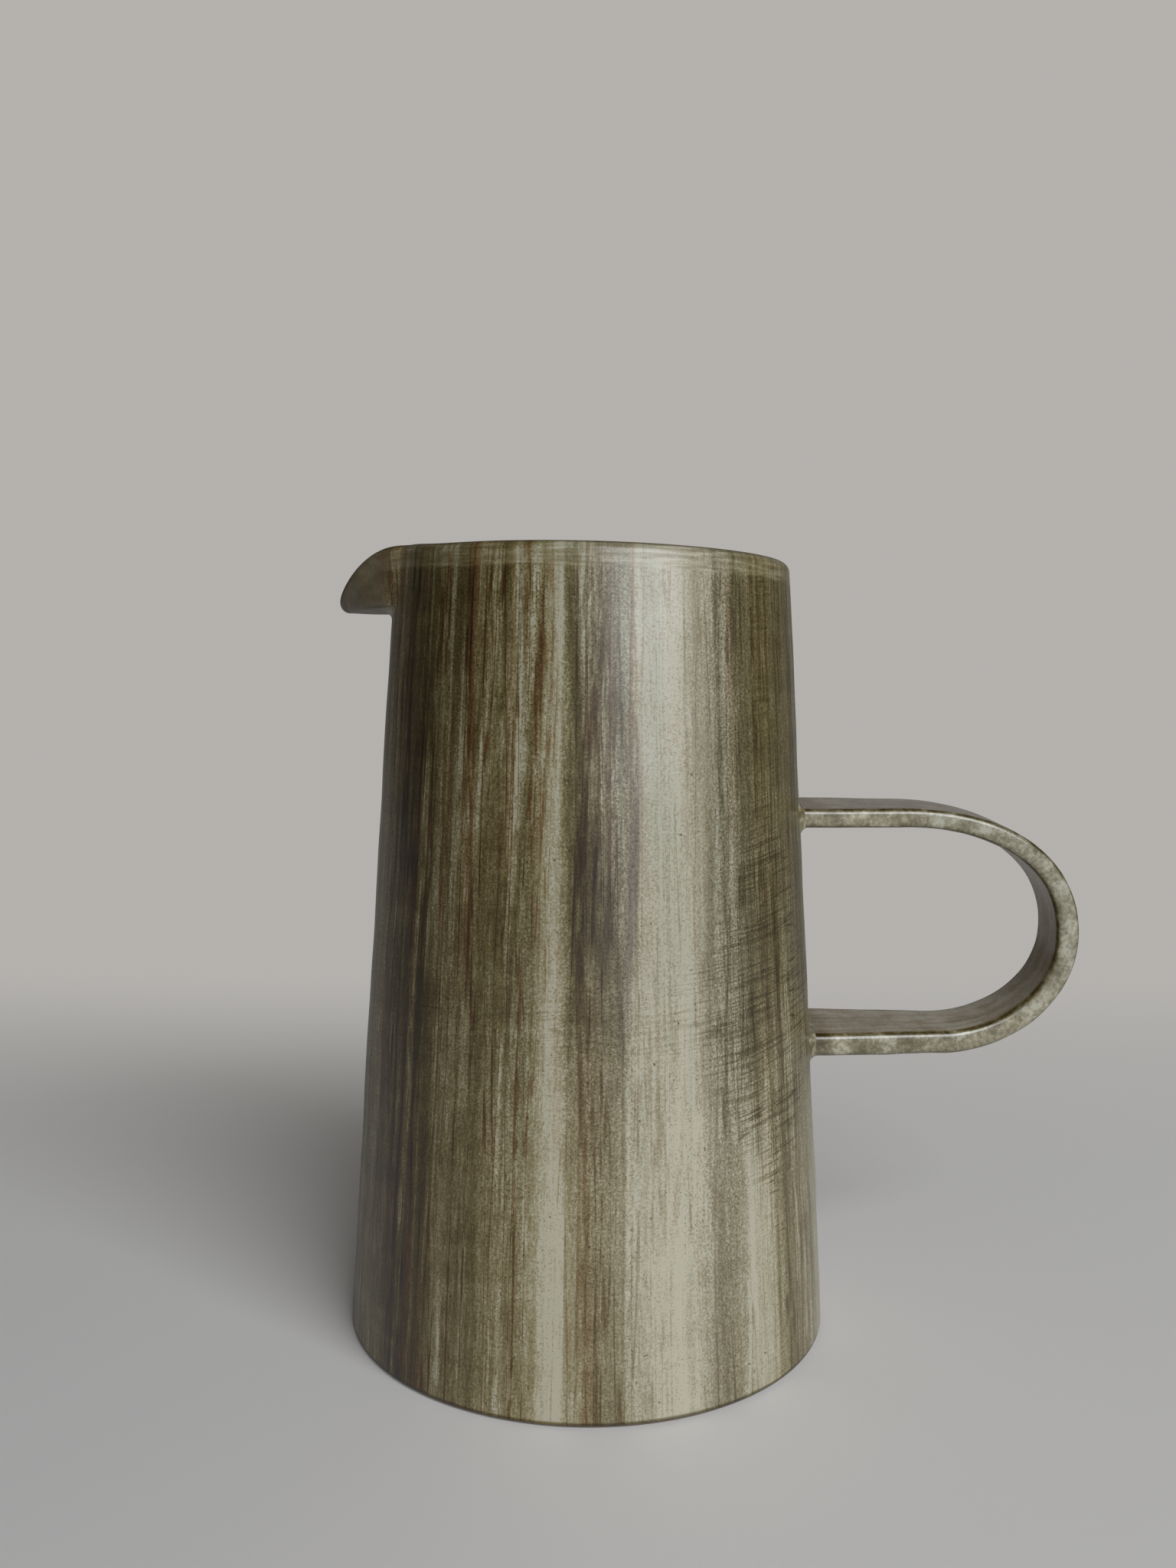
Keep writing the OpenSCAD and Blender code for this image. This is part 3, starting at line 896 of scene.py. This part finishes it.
class BodyGlaze(Surface):
    """The glaze of wall and spout, with the angle round the body and the marks of a brush."""

    def __init__(self, name):
        super().__init__(name)
        self.radius = self.from_axis()
        self.side_x = self.math("DIVIDE", self.x, self.radius)
        self.side_y = self.math("DIVIDE", self.y, self.radius)
        self.from_crown = self.attribute("from_crown")
        self.angle = self.math("DEGREES", self.math("ARCTAN2", self.x, self.times(self.y, -1.0)))
        self.wavy = self.scaled(self.brush(20, 60, 5.3, 2.0), 5.0, self.angle)
        self.warm = self.ramp(self.wavy, *WARM_SIDE)
        self.worn = self.ramp(self.brush(1.0, 12, 45.9, 2.0), -0.16, 0.08)
        threads = self.math("MAXIMUM", self.thread(self.brush(5.0, 200, 17.3), 0.030),
                            self.thread(self.brush(3.2, 140, 71.2), 0.022))
        self.threads = self.times(threads, self.worn)
        self.bands = self.ramp(self.brush(2.8, 160, 33.6, 2.0), 0.08, 0.18)

    def brush(self, wide, tall, seed, detail=1.0, rough=0.5):
        """Noise in marks about so many mm wide round the body and tall up it."""
        scale = MID_R / wide
        return self.noise(self.vector(self.scaled(self.side_x, scale, seed),
                                      self.times(self.side_y, scale),
                                      self.times(self.z, 1 / tall)), 1.0, detail, rough)

    def swept(self, scale, up):
        """Noise in long marks round the body, read up it by a value of its own."""
        return self.noise(self.vector(self.times(self.side_x, scale),
                                      self.times(self.side_y, scale), up), 1.0, 2.0)

    def layout(self, stops):
        """How dense the oxide is at an angle, from stops of angle and density."""
        share = self.scaled(self.wavy, 1 / 360, 0.5)
        curve = self.add("ShaderNodeValToRGB", {0: share}, output=None)
        ramp = curve.color_ramp
        ramp.interpolation = "EASE"
        while len(ramp.elements) < len(stops):
            ramp.elements.new(1.0)
        for element, (angle, density) in zip(ramp.elements, stops):
            element.position = (angle + 180) / 360
            element.color = (density / 2, density / 2, density / 2, 1)
        return self.times(self.add("ShaderNodeSeparateColor", {0: curve.outputs[0]}), 2.0)

    def laid(self):
        """How dense the oxide was laid on, from the high layout to the low one."""
        height = self.scaled(self.brush(6, 40, 12.9), 60.0, self.z)
        height = self.scaled(self.math("ABSOLUTE", self.wavy), 0.3, height)
        return self.fade(self.ramp(height, *LOW_PART), self.layout(LAYOUT_HIGH), self.layout(LAYOUT_LOW))

    def streaks(self):
        """Streaks of the brush and faint rings of the wheel, pale below 0 and dark above it."""
        gaps = self.ramp(self.brush(0.80, 70, 77.2), 0.12, 0.28)
        parting = self.brush(13, 400, 22.4)
        slits = self.times(self.thread(parting, 0.035), self.worn)
        shores = self.thread(self.minus(parting, 0.05), 0.022)
        streaks = self.total(
            *[self.times(self.brush(*mark), strength) for *mark, strength in BRUSH_MARKS],
            self.times(self.threads, 0.95),
            self.times(self.bands, 0.40),
            self.times(gaps, -0.20),
            self.times(slits, -0.50),
            self.times(shores, 0.40),
            -0.20,
        )
        return self.scaled(self.swept(1.2, self.times(self.z, 1 / RING_PITCH)), 0.7, streaks)

    def grain(self, laid):
        """Grain and specks, weaker where the oxide is thin or thick and near the foot."""
        specks = self.ramp(self.noise(self.place, 2.8, 1.0), 0.08, 0.26)
        grain = self.total(self.times(self.noise(self.place, 1.8, 3.0, 0.75), 2.5), specks)
        grain = self.times(grain, self.ramp(laid, 0.0, 0.6, 0.45, 1.0))
        grain = self.times(grain, self.ramp(laid, 0.6, 1.1, 1.0, 0.85))
        return self.times(grain, self.ramp(self.z, 20.0, 80.0, 0.75, 1.0))

    def hatching(self):
        """Crossed brush marks on the handle's side of the front."""
        arc = self.times(self.angle, MID_R * math.pi / 180)
        rising = self.scaled(arc, -HATCH_RISE, self.z)
        rising = self.scaled(self.noise(self.place, 0.03), 3.0, rising)

        def scored(long, apart, seed):
            """Noise in marks that follow the slope, so many mm long and apart."""
            return self.noise(self.vector(self.times(arc, 1 / long), self.times(rising, 1 / apart), seed))

        upright = self.thread(self.brush(1.4, 60, 12.2), 0.05)
        weave = self.times(self.thread(scored(40, 1.1, 2.0), 0.05),
                           self.ramp(scored(10, 8, 7.0), -0.25, 0.05))
        cuts = self.times(self.thread(scored(60, 3.0, 4.0), 0.014),
                          self.ramp(scored(9, 4, 9.0), 0.0, 0.10))
        marks = self.total(self.times(weave, 0.7), self.times(upright, 0.6), self.times(cuts, 1.2), -0.25)
        here = self.total(self.near(self.angle, *HATCH_ANGLES), self.near(self.z, *HATCH_HEIGHTS), -0.8)
        return self.times(marks, self.ramp(here, 0.0, 0.5, 0.0, 0.62))

    def ground(self):
        """The pale ground under the oxide: cream and celadon, rosy in places, paler towards the foot,
        partly a paler glaze and partly painted light bounced from the table.
        """
        ground = self.mix(self.ramp(self.brush(7, 160, 29.2), -0.15, 0.15), CREAM, CELADON)
        ground = self.mix(self.ramp(self.brush(5, 120, 53.8), 0.0, 0.2), ground, ROSE)
        return self.mix(self.ramp(self.z, *PALE_FOOT_AND_BOUNCE_LIGHT, 0.0, 0.7), ground, FOOT_CREAM_AND_BOUNCE_LIGHT)

    def oxide(self, plum, on_beak):
        """The oxide: olive, browner at both sides, rusty in dark lines, plum in places, and plum-grey
        about the front as a painted tint of the key light's reflection.
        """
        brown = self.math("MAXIMUM", self.warm, self.ramp(self.wavy, *BROWN_SIDE, 0.0, 0.7))
        oxide = self.mix(brown, OLIVE, UMBER)
        rust = self.times(self.math("MAXIMUM", self.threads, self.bands), self.warm)
        oxide = self.mix(self.times(rust, 0.5), oxide, RUST)
        # Painted reflection: a cooler plum-grey tint where the key light's bluish reflection falls
        reflection_tint_and_beak_plum = self.times(self.near(self.wavy, *REFLECTION_TINT_ANGLES), self.ramp(self.z, *REFLECTION_TINT_HEIGHTS, 0.0, 0.4))
        reflection_tint_and_beak_plum = self.math("MAXIMUM", reflection_tint_and_beak_plum, self.times(on_beak, 0.7))
        return self.mix(self.math("MAXIMUM", plum, reflection_tint_and_beak_plum), oxide, PLUM)


def streaked_glaze():
    """The body's glaze: a pale ground under oxide brushed on in upright streaks."""
    g = BodyGlaze("streaked_glaze")
    laid = g.laid()
    strength = g.times(g.scaled(laid, 0.48, 0.23), g.scaled(g.warm, 0.35, 0.85))
    pits = g.ramp(g.noise(g.place, 0.9, 0.0), 0.32, 0.42)
    stain = g.total(g.scaled(g.streaks(), strength, laid), g.grain(laid), pits)
    stain = g.math("MAXIMUM", stain, 0.02)

    # The beak is cloudy, and darker in its throat where it meets the wall, as painted shade
    stand = g.minus(g.radius, g.scaled(g.z, (RIM_R - FOOT_R) / HEIGHT, FOOT_R))
    on_beak = g.ramp(stand, *BEAK_STAND, 0.0, 0.85)
    clouds_and_throat_shade = g.scaled(g.noise(g.place, 0.15, 3.0, 0.6), 1.8, 0.88)
    clouds_and_throat_shade = g.scaled(g.ramp(stand, *THROAT_SHADE_STAND), 0.55, clouds_and_throat_shade)
    stain = g.fade(on_beak, stain, clouds_and_throat_shade)

    # The band at the rim is swept round the body
    band_edge = g.scaled(g.brush(9, 400, 8.4, 2.0), 1.6, g.from_crown)
    on_band = g.times(g.ramp(band_edge, *RIM_BAND), g.scaled(on_beak, -0.9, 1.0))
    sweep = g.swept(5.0, g.times(g.from_crown, 1.3))
    stain = g.fade(on_band, stain, g.scaled(sweep, 1.2, g.scaled(stain, 0.48, 0.10)))
    stain = g.scaled(g.near(g.from_crown, *CROWN_LINE), 0.7, stain)
    # Painted shadow: a dark line along the foot where it touches the table
    stain = g.scaled(g.ramp(g.z, *FOOT_SHADOW_LINE), 0.9, stain)

    stain = g.total(stain, g.hatching())
    plum_at = g.scaled(g.z, PLUM_LEAN, PLUM_ANGLE)
    plum = g.times(g.near(g.wavy, plum_at, PLUM_REACH), g.near(g.z, *PLUM_HEIGHTS))
    stain = g.math("MAXIMUM", g.scaled(plum, 0.55, stain), 0.0)

    color = g.stained(g.ground(), g.oxide(plum, on_beak), stain)
    color = g.mix(g.ramp(g.from_crown, *LINING), color, g.lining())
    color = g.mix(g.ramp(g.z, *UNGLAZED), color, BARE)
    return g.finish(color, roughness=0.38, bump=0.25, coat=0.35)


def handle_glaze():
    """The handle's glaze: pale mottled edges, dark corners, and faces brushed lengthwise, their light
    warm tone partly painted light from above.
    """
    g = Surface("handle_glaze")
    across = g.times(g.attribute("across"), 1 / MM)
    through = g.times(g.attribute("through"), 1 / MM)
    along = g.attribute("along")
    to_side = g.math("ABSOLUTE", across)
    to_face = g.math("ABSOLUTE", through)
    on_edge = g.ramp(to_side, BEND_W / 2 - EDGE_STARTS, BEND_W / 2 - EDGE_FULL)
    corner = g.times(g.near(to_side, BEND_W / 2 - LINE_FROM_SIDE, LINE_SIDE_REACH),
                     g.near(to_face, STRAP_T / 2 - LINE_FROM_FACE, LINE_FACE_REACH))
    mottle = g.total(g.times(g.noise(g.place, 0.16, 2.0), 1.9),
                     g.times(g.noise(g.place, 0.9, 3.0, 0.7), 1.8))
    brushed = g.noise(g.vector(g.times(across, 0.9), g.times(through, 0.5), g.times(along, 9.0)),
                      1.0, 3.0, 0.6)
    # The faces' thin oxide and warm ground are partly painted light from above
    face_stain_and_top_light = g.total(0.14, brushed, g.times(mottle, 0.40))
    stain = g.fade(on_edge, face_stain_and_top_light, g.total(0.40, mottle))
    line = g.times(corner, g.ramp(g.noise(g.place, 0.25, 2.0), -0.15, 0.10, 0.25, 1.0))
    to_end = g.minus(0.5, g.math("ABSOLUTE", g.minus(along, 0.5)))
    root = g.ramp(to_end, *ROOT_SHARES, 0.0, 0.35)
    stain = g.math("MAXIMUM", g.total(stain, line, root), 0.0)
    ground = g.mix(g.ramp(g.noise(g.place, 0.06, 1.0), -0.15, 0.15), CREAM, CELADON)
    ground = g.mix(on_edge, FACE_CREAM_AND_TOP_LIGHT, ground)
    oxide = g.mix(on_edge, HANDLE_BROWN, OLIVE)
    oxide = g.mix(line, oxide, UMBER)
    return g.finish(g.stained(ground, oxide, stain), roughness=0.24, bump=0.25, coat=0.7)


def coil_glaze():
    """The glaze over the coils at the roots: cream, mottled with olive."""
    g = Surface("root_coil_glaze")
    stain = g.math("MAXIMUM", g.scaled(g.noise(g.place, 0.5, 2.0), 2.6, 0.5), 0.0)
    return g.finish(g.stained(CREAM, OLIVE, stain), roughness=0.30, bump=0.25, coat=0.5)


def lining_glaze():
    """The pale glaze inside, pooled over the seam."""
    g = Surface("inside_glaze")
    return g.finish(g.lining(), roughness=0.30, coat=0.35)


def bare_stoneware():
    """The base: bare grogged clay underneath, the pale glaze inside."""
    g = Surface("bare_stoneware")
    grog = g.total(g.times(g.noise(g.place, 0.12, 3.0), 0.7), g.times(g.noise(g.place, 2.2, 1.0), 0.9))
    clay = g.mix(g.ramp(grog, -0.3, 0.3), DARK_CLAY, PALE_CLAY)
    on_top = g.ramp(g.z, BASE_T - SLAB_GLAZE_STARTS, BASE_T - SLAB_GLAZE_FULL)
    color = g.mix(on_top, clay, g.lining())
    return g.finish(color, roughness=0.62, bump=0.4)


body_glaze = streaked_glaze()
strap_glaze = handle_glaze()
root_glaze = coil_glaze()
inside_glaze = lining_glaze()
bare_clay = bare_stoneware()

body = Body()
wall = make_wall(body, body_glaze)
spout = make_spout(body, body_glaze)
base = make_base_disc(bare_clay)
seam = make_seam_coil(inside_glaze)
handle = make_handle(strap_glaze)
upper_coil = make_root_coil("upper_root_fillet", UPPER_RUN_Z, UPPER_ROOT_W, UPPER_ROOT_T, root_glaze)
lower_coil = make_root_coil("lower_root_fillet", LOWER_RUN_Z, LOWER_ROOT_W, STRAP_T, root_glaze)

for piece, node, finish in (
    (wall, "wall", "streaked_glaze"),
    (spout, "spout", "streaked_glaze"),
    (base, "base_disc", "bare_stoneware"),
    (seam, "base_seam_coil", "inside_glaze"),
    (handle, "handle", "handle_glaze"),
    (upper_coil, "handle_upper_coil", "handle_glaze"),
    (lower_coil, "handle_lower_coil", "handle_glaze"),
):
    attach(piece, "root")
    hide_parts(node)


# CAMERA

# The camera's lens, sensor and place in mm, and its turns in degrees
LENS = 40.23
SENSOR_W = 36.0
CAMERA_BACK = 347.97
CAMERA_HEIGHT = 167.25
LOOKS_DOWN = 4.24
LOOKS_LEFT = 0.11
ROLL = 0.44


def turn_about(axis, degrees):
    """A turn about one axis."""
    angles = {"X": (math.radians(degrees), 0, 0), "Z": (0, 0, math.radians(degrees))}
    return Euler(angles[axis]).to_matrix()


def make_camera():
    """The camera in front of the pitcher, a little above its middle."""
    camera = bpy.data.cameras.new("camera")
    camera.lens = LENS
    camera.sensor_width = SENSOR_W
    camera.sensor_fit = "HORIZONTAL"
    view = bpy.data.objects.new("camera", camera)
    view.location = (0, -CAMERA_BACK * MM, CAMERA_HEIGHT * MM)
    aim = turn_about("Z", LOOKS_LEFT) @ turn_about("X", 90 - LOOKS_DOWN) @ turn_about("Z", ROLL)
    view.rotation_euler = aim.to_euler()
    bpy.context.scene.collection.objects.link(view)
    return view


bpy.context.scene.camera = make_camera()


# LIGHT

# The key light, in metres and watts: in front, on the handle's side and above
KEY_PLACE = (0.80, -1.39, 0.93)
KEY_AIM = (0.0, 0.0, 0.1)
KEY_WIDTH = 1.3
KEY_POWER = 29.0
KEY_COLOR = (0.975, 0.995, 1.06)

# The room: dim on the camera's side, a pale wall behind the pitcher
BACKDROP = (0.455, 0.440, 0.420)
DIM_ROOM = (0.050, 0.048, 0.046)
PALE_ROOM = (0.180, 0.175, 0.172)

# The table's colour, its width in metres, and where it starts to run out and ends, in mm:
# behind the pitcher, and all round for the camera alone
FLOOR = (0.84, 0.825, 0.785)
TABLE_WIDTH = 6.0
ENDS_BEHIND = (90.0, 420.0)
ENDS_ROUND = (650.0, 1400.0)
# Its own faint light for the camera: from where to where it rises, in mm, and how strong
GLOW_PLACES = (-150.0, 250.0)
GLOW_STRENGTHS = (0.02, 0.10)


def make_key_light():
    """One soft square light that faces the pitcher."""
    light = bpy.data.lights.new("key", "AREA")
    light.shape = "RECTANGLE"
    light.size = KEY_WIDTH
    light.size_y = KEY_WIDTH
    light.energy = KEY_POWER
    light.color = KEY_COLOR
    lamp = bpy.data.objects.new("key", light)
    lamp.location = KEY_PLACE
    x, y, z = np.array(KEY_AIM) - np.array(KEY_PLACE)
    lamp.rotation_euler = (math.atan2(math.hypot(x, y), -z), 0, math.atan2(-x, y))
    bpy.context.scene.collection.objects.link(lamp)


def make_room():
    """The room's own dim light, with a plain backdrop for the camera."""
    world = bpy.data.worlds.new("room")
    bpy.context.scene.world = world
    world.use_nodes = True
    g = Graph(world.node_tree)
    rays = g.add("ShaderNodeLightPath", output=None).outputs
    toward = g.split(g.add("ShaderNodeTexCoord", output="Generated"))
    behind = g.scaled(toward[0], 0.15, toward[1])
    room = g.mix(g.ramp(behind, 0.65, 1.05), DIM_ROOM, PALE_ROOM)
    room = g.mix(rays["Is Camera Ray"], room, BACKDROP)
    background = g.add("ShaderNodeBackground", {"Color": room})
    g.add("ShaderNodeOutputWorld", {"Surface": background}, output=None)


def make_table():
    """The table, which runs out softly into the wall behind the pitcher and, far off, all round."""
    g = Surface("table")
    rays = g.add("ShaderNodeLightPath", output=None).outputs
    camera_ray = rays["Is Camera Ray"]
    seen = g.math("MAXIMUM", rays["Is Glossy Ray"], rays["Is Transmission Ray"])
    seen = g.math("MAXIMUM", camera_ray, seen)
    away = g.times(g.ramp(g.y, *ENDS_BEHIND), seen)
    away = g.math("MAXIMUM", away, g.times(camera_ray, g.ramp(g.from_axis(), *ENDS_ROUND)))
    glow = g.times(camera_ray, g.ramp(g.y, *GLOW_PLACES, *GLOW_STRENGTHS))
    cover = g.add("ShaderNodeBsdfPrincipled", {"Base Color": FLOOR, "Roughness": 0.6,
                                               "Emission Color": FLOOR, "Emission Strength": glow})
    beyond = g.add("ShaderNodeEmission", {"Color": g.mix(camera_ray, PALE_ROOM, BACKDROP)})
    surface = g.add("ShaderNodeMixShader", {0: away, 1: cover, 2: beyond})
    g.add("ShaderNodeOutputMaterial", {"Surface": surface}, output=None)
    bpy.ops.mesh.primitive_plane_add(size=TABLE_WIDTH)
    table = bpy.context.object
    table.name = "floor"
    table.data.materials.append(g.material)
    return table


make_key_light()
make_room()
floor = make_table()

bpy.context.scene.view_settings.view_transform = "Standard"
